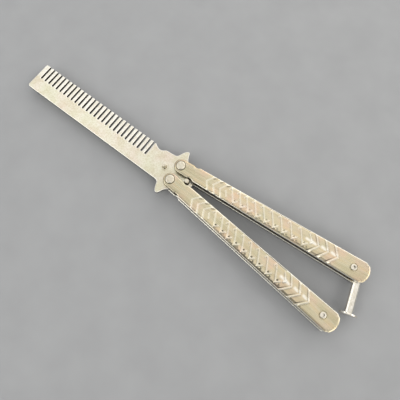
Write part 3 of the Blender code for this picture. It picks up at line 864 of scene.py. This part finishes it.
def floor_paint():
    """Matt painted board: pale, with a barely visible roller texture."""
    made, tree, shader = new_material("matt_painted_board")
    place = add(tree, "ShaderNodeTexCoord").outputs["Object"]
    _, colour = mottling(tree, place, per_size(0.02), 2.0, [(0.3, "9C9D9F"), (0.7, "A1A2A4")])
    tree.links.new(colour, shader.inputs["Base Color"])
    shader.inputs["Roughness"].default_value = 0.75
    return made


def mark(mesh, name, value_of):
    """Gives a mesh a face attribute that a material reads, worked out from each face."""
    values = [float(value_of(face)) for face in mesh.polygons]
    mesh.attributes.new(name, "FLOAT", "FACE").data.foreach_set("value", values)


def on_side(face):
    """True on an upright side."""
    return abs(face.normal.z) < SIDE_BELOW


def on_edge(face):
    """True on a rounded edge between a flat and an upright side."""
    return SIDE_BELOW <= abs(face.normal.z) < FLAT_ABOVE


def in_socket(face):
    """True on the walls of a screw's hexagon socket."""
    return on_side(face) and math.hypot(face.center.x, face.center.y) < HEX_RADIUS


def comb_outline():
    """Outline of the plate before its gaps are cut, anticlockwise."""
    tooth_corner = (TIP_X + TIP_TOOTH_RADIUS, TOOTH_Y - TIP_TOOTH_RADIUS)
    spine_corner = (TIP_X + TIP_SPINE_RADIUS, SPINE_Y + TIP_SPINE_RADIUS)
    tang = smooth_curve(TANG, TANG_STEPS)
    points = arc(tooth_corner, TIP_TOOTH_RADIUS, 180.0, 90.0, segments=6)
    points += [(LAST_GAP_X, TOOTH_Y), (LAST_GAP_X, TOOTH_SIDE[0][1])]
    points += smooth_curve(TOOTH_SIDE, CURVE_STEPS)
    points += tang
    points += [(TAIL_END_X, TAIL_HALF_WIDTH), (TAIL_END_X, -TAIL_HALF_WIDTH)]
    points += [(x, -y) for x, y in reversed(tang)]
    points += smooth_curve(SPINE_SIDE, CURVE_STEPS)
    points += arc(spine_corner, TIP_SPINE_RADIUS, 270.0, 180.0, segments=10)
    return points[::-1]


def comb_mesh(steel, pivot_y):
    """Plate with its gaps cut by the node tree, drilled for the pivots and the stop pins."""
    half = GAP_WIDTH / 2
    mouth = TOOTH_Y + GAP_WIDTH
    pivot_hole = PIVOT_PIN_RADIUS + RUN_GAP
    pin_hole = STOP_PIN_RADIUS + SEAT_GAP
    gap_outline = arc((0.0, GAP_ROOT_Y + half), half, 180.0, 360.0, segments=12)
    gap_outline += [(half, mouth), (-half, mouth)]
    drills = []
    for side in (1.0, -1.0):
        for centre, radius in (((0.0, side * pivot_y), pivot_hole), ((side * STOP_PIN_X, 0.0), pin_hole)):
            drills.append(slab("drill", circle(centre, radius, ROUND_SIDES), -PLATE_THICK, PLATE_THICK))
    gap = shown("gap", slab("gap", gap_outline, -PLATE_THICK, PLATE_THICK))
    drilled = shown("drills", joined(drills))
    blank = slab("comb_blank", comb_outline(), -PLATE_THICK / 2, PLATE_THICK / 2)
    mesh = grown("comb_blank", blank, comb_tree(), {
        "Gap": gap,
        "Drills": drilled,
        "Gap count": GAP_COUNT,
        "Gap pitch": GAP_PITCH,
        "First gap": FIRST_GAP_X,
        "Material": steel,
    })
    for helper in (gap, drilled):
        bpy.data.objects.remove(helper, do_unlink=True)
    plate = softened(mesh, PLATE_EDGE)
    # Marks the sides for painted shade and the rounded edges for a painted highlight
    mark(plate, "sawn_side_shade", on_side)
    mark(plate, "edge_highlight", on_edge)
    return plate


def half_width(x):
    """Half the width of a casting along its tapered stretch."""
    (x0, y0), (x1, y1) = TAPER_START, TAPER_END
    return y0 + (y1 - y0) * (x - x0) / (x1 - x0)


def half_outline():
    """One side of a casting's outline, from the middle of its round end to that of its tail."""
    low_angle = math.degrees(math.asin((NOTCH_END_Y - NOTCH_Y) / NOTCH_RADIUS))
    tail_angle = math.degrees(math.asin(TAIL_CORNER[1] / TAIL_BULGE))
    points = arc((ROUND_END_X, 0.0), ROUND_END_RADIUS, 180.0, 90.0, segments=32)
    points += arc((NOTCH_X, NOTCH_Y), NOTCH_RADIUS, -180.0 - low_angle, low_angle, segments=16)
    points += [TAPER_START, TAPER_END, TAIL_CORNER]
    points += arc((TAIL_X - TAIL_BULGE, 0.0), TAIL_BULGE, tail_angle, 0.0, segments=24)[1:]
    return points


def row_step(x):
    """Spacing of a casting's rows at a place along it."""
    if RELIEF_X[0] < x < RELIEF_X[1]:
        return FINE_STEP
    return PLAIN_STEP if TAPER_START[0] < x < TAPER_END[0] else ROUND_STEP


def stations(points):
    """Points along a bent line at the spacing of the rows, its two ends included."""
    lengths = [0.0]
    for a, b in zip(points, points[1:]):
        lengths.append(lengths[-1] + math.dist(a, b))
    placed = []
    leg = 0
    want = 0.0
    while want < lengths[-1] - ROUND_STEP / 2:
        while lengths[leg + 1] < want:
            leg += 1
        share = (want - lengths[leg]) / (lengths[leg + 1] - lengths[leg])
        a, b = points[leg], points[leg + 1]
        placed.append((a[0] + (b[0] - a[0]) * share, a[1] + (b[1] - a[1]) * share))
        want += row_step(placed[-1][0])
    return placed + [points[-1]]


def row_shares():
    """Places across a row as shares of its half width: fine at both rounded edges, then even."""
    edge = [EDGE_RADIUS * share for share in EDGE_ROWS]
    width = (TAPER_START[1] + TAPER_END[1]) / 2
    inner = 1.0 - EDGE_RADIUS / width
    steps = round(inner * width / FINE_STEP)
    positive = [1.0 - d / width for d in edge] + [inner * (1.0 - i / steps) for i in range(1, steps)]
    return positive + [0.0] + [-share for share in reversed(positive)]


def outer_face(side, shares):
    """Grid of a casting's outer face, as points and faces, and the points round its outline."""
    rows = side[1:-1]
    across = len(shares)
    verts = [(*side[0], OUTER_Z)]
    for x, y in rows:
        verts += [(x, y * share, OUTER_Z) for share in shares]
    verts.append((*side[-1], OUTER_Z))
    last = len(verts) - 1
    faces = []
    for k in range(across - 1):
        faces.append([0, 1 + k, 2 + k])
        faces.append([last, last - across + k + 1, last - across + k])
    for r in range(len(rows) - 1):
        base = 1 + r * across
        for k in range(across - 1):
            faces.append([base + k, base + across + k, base + across + k + 1, base + k + 1])
    left = [1 + r * across for r in range(len(rows))]
    right = [(r + 1) * across for r in range(len(rows))]
    return verts, faces, [0, *left, last, *reversed(right)]


def wall_rings():
    """Rings down a casting's wall and round its inner edge: (inset, height, painted shading), with painted
    shade on the wall and the inner face and a painted highlight on the inner edge.
    """
    wall_top = OUTER_Z - EDGE_RADIUS - RELIEF["Crown drop"] - SEAT_GAP
    rings = [(0.0, wall_top, WALL_SHADE), (0.0, INNER_Z + 2 * INNER_EDGE, WALL_SHADE)]
    for i in range(INNER_EDGE_RINGS + 1):
        turn = math.radians(90.0 * i / INNER_EDGE_RINGS)
        height = INNER_Z + INNER_EDGE * (1.0 - math.sin(turn))
        rings.append((INNER_EDGE * (1.0 - math.cos(turn)), height, RIM_HIGHLIGHT))
    return rings + [(3 * INNER_EDGE, INNER_Z, WALL_SHADE)]


def casting_blank():
    """Smooth blank of an upper casting, fine on its outer face and plain elsewhere, and its outline."""
    verts, faces, ring = outer_face(stations(half_outline()), row_shares())
    outline = [verts[i][:2] for i in ring]
    outer = [1.0] * len(verts)
    wall_shadings = [RIM_HIGHLIGHT] * len(verts)
    above = ring
    for inset, z, finish in wall_rings():
        below = list(range(len(verts), len(verts) + len(ring)))
        verts += [(x, y - math.copysign(min(inset, INSET_LIMIT * abs(y)), y), z) for x, y in outline]
        outer += [0.0] * len(ring)
        wall_shadings += [finish] * len(ring)
        for i in range(len(ring)):
            j = (i + 1) % len(ring)
            faces.append([above[i], above[j], below[j], below[i]])
        above = below
    # The underside is one strip, with a triangle at each end
    count = len(ring) // 2 - 1
    first = above[0]
    tail = above[count + 1]
    upper = above[1:count + 1]
    lower = above[:count + 1:-1]
    faces.append([first, upper[0], lower[0]])
    faces.append([tail, lower[-1], upper[-1]])
    for r in range(count - 1):
        faces.append([upper[r], upper[r + 1], lower[r + 1], lower[r]])
    mesh = mesh_from("casting_blank", verts, faces)
    # Stores the outer face, and the painted shading of the walls and inner face with a painted highlight on
    # the inner edge
    mesh.attributes.new("outer", "FLOAT", "POINT").data.foreach_set("value", outer)
    mesh.attributes.new("finish", "FLOAT", "POINT").data.foreach_set("value", wall_shadings)
    return mesh, outline


def relief_lines():
    """Centre lines of the relief that isn't part of the rope."""
    lines = [SMALL_CHEVRON, FIRST_HALF_RIDGE]
    for apex, end in PIVOT_CHEVRONS:
        lines.append([(end, half_width(end)), (apex, 0.0), (end, -half_width(end))])
    return lines + tail_chevron_lines(0.0)


def pit_points():
    """Points at the rope's pits, each with the spread of its unit."""
    spreads = [half_width(x) / half_width(ROPE_UNIT_X) for x in ROPE_PITS]
    mesh = polyline([[(x, PIT_Y * spread)] for x, spread in zip(ROPE_PITS, spreads)])
    mesh.attributes.new("spread", "FLOAT", "POINT").data.foreach_set("value", spreads)
    return mesh


def edge_lines():
    """Middle lines of the grooves inside both rims."""
    narrow = [(x, half_width(x) - NARROW_GROOVE_INSET) for x in NARROW_GROOVE_X]
    broad = [(x, BROAD_GROOVE_INSET - half_width(x)) for x in BROAD_GROOVE_X]
    return [narrow, broad]


def tail_chevron_lines(back):
    """Centre lines of the tail chevrons, moved back towards the pivot."""
    return [
        [(upper - back, half_width(upper)), (apex - back, 0.0), (lower - back, -half_width(lower))]
        for apex, upper, lower in TAIL_CHEVRONS
    ]


def arm_crease_lines():
    """Creases behind the +y arms of the pivot chevrons."""
    lines = []
    for _, end in PIVOT_CHEVRONS:
        lines.append([(end + past, share * half_width(end)) for past, share in ARM_CREASE])
    return lines


def relief_helpers(outline):
    """Lines and points that the relief is measured from, as objects by the names of the tree's inputs."""
    rope_line = [(x, y - PIT_Y) for x, y in ROPE_RIDGE]
    # The seat is the circle round the pivot's head, where the casting dips a little and gets painted shade
    seat = arc((0.0, 0.0), PIVOT_HEAD_RADIUS + SEAT_GAP, 0.0, 360.0, ROUND_SIDES)
    meshes = {
        "Rope line": polyline([rope_line]),
        "Lobe": polyline([[LOBE]]),
        "Pits": pit_points(),
        "Chevrons": polyline(relief_lines()),
        "Keel": polyline(KEEL),
        "Creases": polyline(tail_chevron_lines(CREASE_OFFSET)),
        "Arm creases": polyline(arm_crease_lines()),
        "Edge lines": polyline(edge_lines()),
        "Seat": polyline([seat]),
        "Outline": polyline([outline + outline[:1]]),
    }
    return {name: shown(name, mesh) for name, mesh in meshes.items()}


def boss_mesh():
    """Round boss at the pivot, which spaces a casting from the plate."""
    low = PLATE_THICK / 2 + RUN_GAP
    top = INNER_Z + EMBED
    return turned("boss", [
        (0.0, low), (BOSS_RADIUS - INNER_EDGE, low), (BOSS_RADIUS, low + INNER_EDGE), (BOSS_RADIUS, top),
        (0.0, top),
    ])


def casting_drills():
    """Holes for the pivot pin and for the tail screw, the screw's with a chamfered counterbore."""
    through = 2 * OUTER_Z
    pin_hole = PIVOT_PIN_RADIUS + SEAT_GAP
    shank_hole = SHANK_RADIUS + SEAT_GAP
    seat = OUTER_Z - COUNTERBORE_DEPTH
    rim = COUNTERBORE_RADIUS + SEAT_GAP
    pivot_drill = turned("drill", [(0.0, 0.0), (pin_hole, 0.0), (pin_hole, through), (0.0, through)])
    screw_drill = turned("drill", [
        (0.0, 0.0), (shank_hole, 0.0), (shank_hole, seat), (COUNTERBORE_RADIUS, seat),
        (COUNTERBORE_RADIUS, OUTER_Z - SEAT_GAP), (rim, OUTER_Z), (rim, through), (0.0, through),
    ], (SCREW_X, 0.0))
    return joined([pivot_drill, screw_drill])


def casting_mesh(steel):
    """Upper casting with its relief, its boss round the pivot, its holes and the screw's counterbore."""
    blank, outline = casting_blank()
    helpers = relief_helpers(outline)
    mesh = grown("casting", blank, relief_tree(helpers), {**helpers, **RELIEF, "Material": steel})
    for helper in helpers.values():
        bpy.data.objects.remove(helper, do_unlink=True)
    casting = combined(mesh, [("UNION", boss_mesh()), ("DIFFERENCE", casting_drills())])
    # Painted shade in the counterbore
    depths = casting.attributes["cast_depth"].data
    for vertex in casting.vertices:
        x, y, z = vertex.co
        if z > INNER_Z + EMBED and math.hypot(x - SCREW_X, y) < COUNTERBORE_RADIUS + SEAT_GAP / 2:
            depths[vertex.index].value = COUNTERBORE_SHADE
    return casting


def with_latch_peg(lower):
    """Lower casting with the peg that the latch swings on."""
    low = -INNER_Z - EMBED
    top = INNER_Z - SEAT_GAP
    peg = turned("peg", [
        (0.0, low), (PEG_RADIUS, low), (PEG_RADIUS, top - PIN_EDGE), (PEG_RADIUS - PIN_EDGE, top),
        (0.0, top),
    ])
    peg.transform(Matrix.Translation((LATCH_X, 0.0, 0.0)))
    return smoothed(combined(lower, [("UNION", peg)]), CAST_SMOOTH_BELOW)


def stop_pin_mesh():
    """Plain round pin with a rounded edge at both ends."""
    edge = arc((STOP_PIN_RADIUS - PIN_EDGE, STOP_PIN_Z - PIN_EDGE), PIN_EDGE, 0.0, 90.0, segments=4)
    return turned("stop_pin", mirrored_profile([*edge, (0.0, STOP_PIN_Z)]))


def pivot_pin_mesh():
    """Shank through both scales and the plate, with a low domed head at each end."""
    seat = OUTER_Z + SEAT_GAP
    shoulder = HEAD_Z - PIVOT_DOME_SHARE * (HEAD_Z - OUTER_Z)
    across = PIVOT_HEAD_RADIUS - PIVOT_HEAD_FLAT
    rise = HEAD_Z - shoulder
    dome = []
    for i in range(PIVOT_DOME_RINGS + 1):
        turn = math.radians(90.0 * i / PIVOT_DOME_RINGS)
        dome.append((PIVOT_HEAD_FLAT + across * math.cos(turn), shoulder + rise * math.sin(turn)))
    upper = [(PIVOT_PIN_RADIUS, seat), (PIVOT_HEAD_RADIUS, seat), *dome, (0.0, HEAD_Z)]
    return turned("pivot_pin", mirrored_profile(upper))


def tail_screw_mesh():
    """Barrel that spaces the scales, a thinner shank through each, and two socket heads."""
    barrel_top = INNER_Z - SEAT_GAP
    seat = OUTER_Z - COUNTERBORE_DEPTH + SEAT_GAP
    crown = arc((SCREW_HEAD_RADIUS - SCREW_EDGE, HEAD_Z - SCREW_EDGE), SCREW_EDGE, 0.0, 90.0, segments=4)
    upper = [
        (BARREL_RADIUS, barrel_top), (SHANK_RADIUS, barrel_top), (SHANK_RADIUS, seat),
        (SCREW_HEAD_RADIUS, seat), *crown, (0.0, HEAD_Z),
    ]
    body = turned("tail_screw", mirrored_profile(upper))
    hexagon = circle((0.0, 0.0), HEX_RADIUS, 6)
    sockets = [slab("socket", hexagon, z - HEX_DEPTH, z + HEX_DEPTH) for z in (HEAD_Z, -HEAD_Z)]
    screw = combined(body, [("DIFFERENCE", joined(sockets))])
    # Marks the socket walls for painted shade
    mark(screw, "socket_shade", in_socket)
    return screw


def latch_mesh():
    """Eye round the peg, crowned shaft and the upright T plate at its end, along local X."""
    eye = slab("eye", circle((0.0, 0.0), EYE_RADIUS, ROUND_SIDES), -EYE_HALF_HEIGHT, EYE_HALF_HEIGHT)
    half = SHAFT_WIDTH / 2
    top = SHAFT_HALF_HEIGHT
    flat = SHAFT_FLAT_SHARE * half
    crowned = [(half, top - SHAFT_CROWN), (flat, top), (-flat, top), (-half, top - SHAFT_CROWN)]
    shaft_section = crowned + [(-y, -z) for y, z in crowned]
    # Sections are drawn across the latch, and their height runs along it
    upright = Matrix(((0, 0, 1, 0), (1, 0, 0, 0), (0, 1, 0, 0), (0, 0, 0, 1)))
    shaft = slab("shaft", shaft_section, SHAFT_START, T_START + EMBED)
    shaft.transform(upright)
    wide = T_WIDTH / 2
    arch_radius = (wide ** 2 + T_ARCH ** 2) / (2 * T_ARCH)
    reach = math.degrees(math.asin(wide / arch_radius))
    arch = arc((0.0, T_HALF_HEIGHT - arch_radius), arch_radius, 90.0 - reach, 90.0 + reach, segments=16)
    t_plate = slab("t_plate", arch + [(-x, -y) for x, y in arch], T_START, T_START + T_THICK)
    t_plate.transform(upright)
    rim = circle((0.0, 0.0), PEG_RADIUS + RUN_GAP, ROUND_SIDES)
    hole = slab("hole", rim, -EYE_RADIUS, EYE_RADIUS)
    latch = combined(eye, [("UNION", shaft), ("UNION", t_plate), ("DIFFERENCE", hole)])
    latch.set_sharp_from_angle(angle=CROWN_SHARP_ABOVE)
    return softened(latch, LATCH_EDGE, LATCH_BEVEL_ABOVE)


def piece(name, mesh, place, steel, body, nodes):
    """Finished piece: its place goes into its mesh, and it rides on a body for its CAD node."""
    mesh.transform(place)
    mesh.materials.clear()
    mesh.materials.append(steel)
    made = shown(name, mesh)
    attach(made, body)
    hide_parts(*nodes)


def smoothed(mesh, angle=SMOOTH_BELOW):
    """Mesh shaded smooth, with its real corners kept sharp."""
    mesh.shade_smooth()
    mesh.set_sharp_from_angle(angle=angle)
    return mesh


def middle(node):
    """Middle of a CAD node's box."""
    low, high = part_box(node)
    return (low + high) / 2


def build_comb(centre, pivot_y, pin_steel):
    """Comb plate and its two stop pins."""
    place = Matrix.Translation(centre)
    sheet = ground_sheet_steel(centre)
    piece("comb_plate", comb_mesh(sheet, pivot_y), place, sheet, "root", ["comb"])
    for name, side in (("front", -1.0), ("tang", 1.0)):
        at_pin = place @ Matrix.Translation((side * STOP_PIN_X, 0.0, 0.0))
        pin = smoothed(stop_pin_mesh())
        piece(name + "_stop_pin", pin, at_pin, pin_steel, "root", [name + "_pin"])


def build_handle(handle, place, castings, cast, pin_steel, screw_steel):
    """Both castings of a handle, its pivot pin and its tail screw."""
    for level, mesh in castings.items():
        name = handle + "_" + level
        piece(name + "_casting", mesh, place, cast, handle, [name + "_scale"])
    pin = smoothed(pivot_pin_mesh())
    piece(handle + "_pivot_rivet", pin, place, pin_steel, handle, [handle + "_pivot_pin"])
    screw = smoothed(tail_screw_mesh())
    at_screw = place @ Matrix.Translation((SCREW_X, 0.0, 0.0))
    node = handle + "_tail_screw"
    piece(handle + "_tail_fastener", screw, at_screw, screw_steel, handle, [node])


def build_object():
    """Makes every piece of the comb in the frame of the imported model."""
    pivots = {letter: middle("handle_" + letter + "_pivot_pin") for letter in "ab"}
    centre = (pivots["a"] + pivots["b"]) / 2
    pivot_y = (pivots["b"] - pivots["a"]).length / 2
    pin_steel = small_part_steel("turned_pin_steel", "E8E2D1", "D5CCB8", (0.24, 0.36))
    screw_steel = small_part_steel("turned_screw_steel", "F3EEE2", "DDD6C6", (0.20, 0.32))
    latch_steel = small_part_steel("polished_latch_steel", "F6F2E9", "E6E0D2", (0.16, 0.26))
    build_comb(centre, pivot_y, pin_steel)

    places = {}
    casts = {}
    for letter, pivot in pivots.items():
        along = middle("handle_" + letter + "_tail_screw") - pivot
        turn = math.atan2(along.y, along.x)
        places[letter] = Matrix.Translation(pivot) @ Matrix.Rotation(turn, 4, "Z")
        # The handles' steels differ only in how much painted shade their edge grooves and pits get
        casts[letter] = polished_cast_steel("polished_cast_steel_" + letter, turn, GROOVE_SHADE[letter])
    upper = smoothed(casting_mesh(casts["a"]), CAST_SMOOTH_BELOW)
    for letter, cast in casts.items():
        lower = upper.copy()
        lower.transform(Matrix.Rotation(math.pi, 4, "X"))
        if letter == "b":
            lower = with_latch_peg(lower)
        castings = {"upper": upper.copy(), "lower": lower}
        build_handle("handle_" + letter, places[letter], castings, cast, pin_steel, screw_steel)
    bpy.data.meshes.remove(upper)

    at_peg = places["b"] @ Matrix.Translation((LATCH_X, 0.0, 0.0)) @ Matrix.Rotation(LATCH_TURN, 4, "Z")
    piece("t_latch", latch_mesh(), at_peg, latch_steel, "latch", ["latch"])


def build_floor():
    """Plain pale floor that the comb lies on."""
    corners = [(-1.0, -1.0), (1.0, -1.0), (1.0, 1.0), (-1.0, 1.0)]
    mesh = mesh_from("floor", [(x * FLOOR_HALF, y * FLOOR_HALF, 0.0) for x, y in corners], [[0, 1, 2, 3]])
    mesh.materials.append(floor_paint())
    shown("floor", mesh)


def softbox(name, place, aim, width, depth, power, colour):
    """Rectangular area light that faces a point."""
    light = bpy.data.lights.new(name, "AREA")
    light.shape = "RECTANGLE"
    light.size = width
    light.size_y = depth
    light.energy = power
    light.color = linear(colour)[:3]
    made = shown(name, light)
    made.location = place
    made.rotation_euler = (Vector(aim) - Vector(place)).to_track_quat("-Z", "Y").to_euler()
    made.visible_camera = False


def build_lights():
    """Nine softboxes and a pale surround."""
    for box in SOFTBOXES:
        softbox(*box)
    world = bpy.data.worlds.new("surround")
    bpy.context.scene.world = world
    world.use_nodes = True
    background = world.node_tree.nodes["Background"]
    background.inputs["Color"].default_value = linear("E9ECF0")
    background.inputs["Strength"].default_value = 0.50
    bpy.context.scene.view_settings.view_transform = "Standard"


def build_camera():
    """Camera at the photo's angle, rolled about its view."""
    camera = bpy.data.cameras.new("camera")
    camera.lens = LENS
    made = shown("camera", camera)
    turn = (CAMERA_AIM - CAMERA_PLACE).to_track_quat("-Z", "Y").to_matrix().to_4x4()
    made.matrix_world = Matrix.Translation(CAMERA_PLACE) @ turn @ Matrix.Rotation(CAMERA_ROLL, 4, "Z")
    bpy.context.scene.camera = made


build_camera()
build_floor()
build_lights()
build_object()
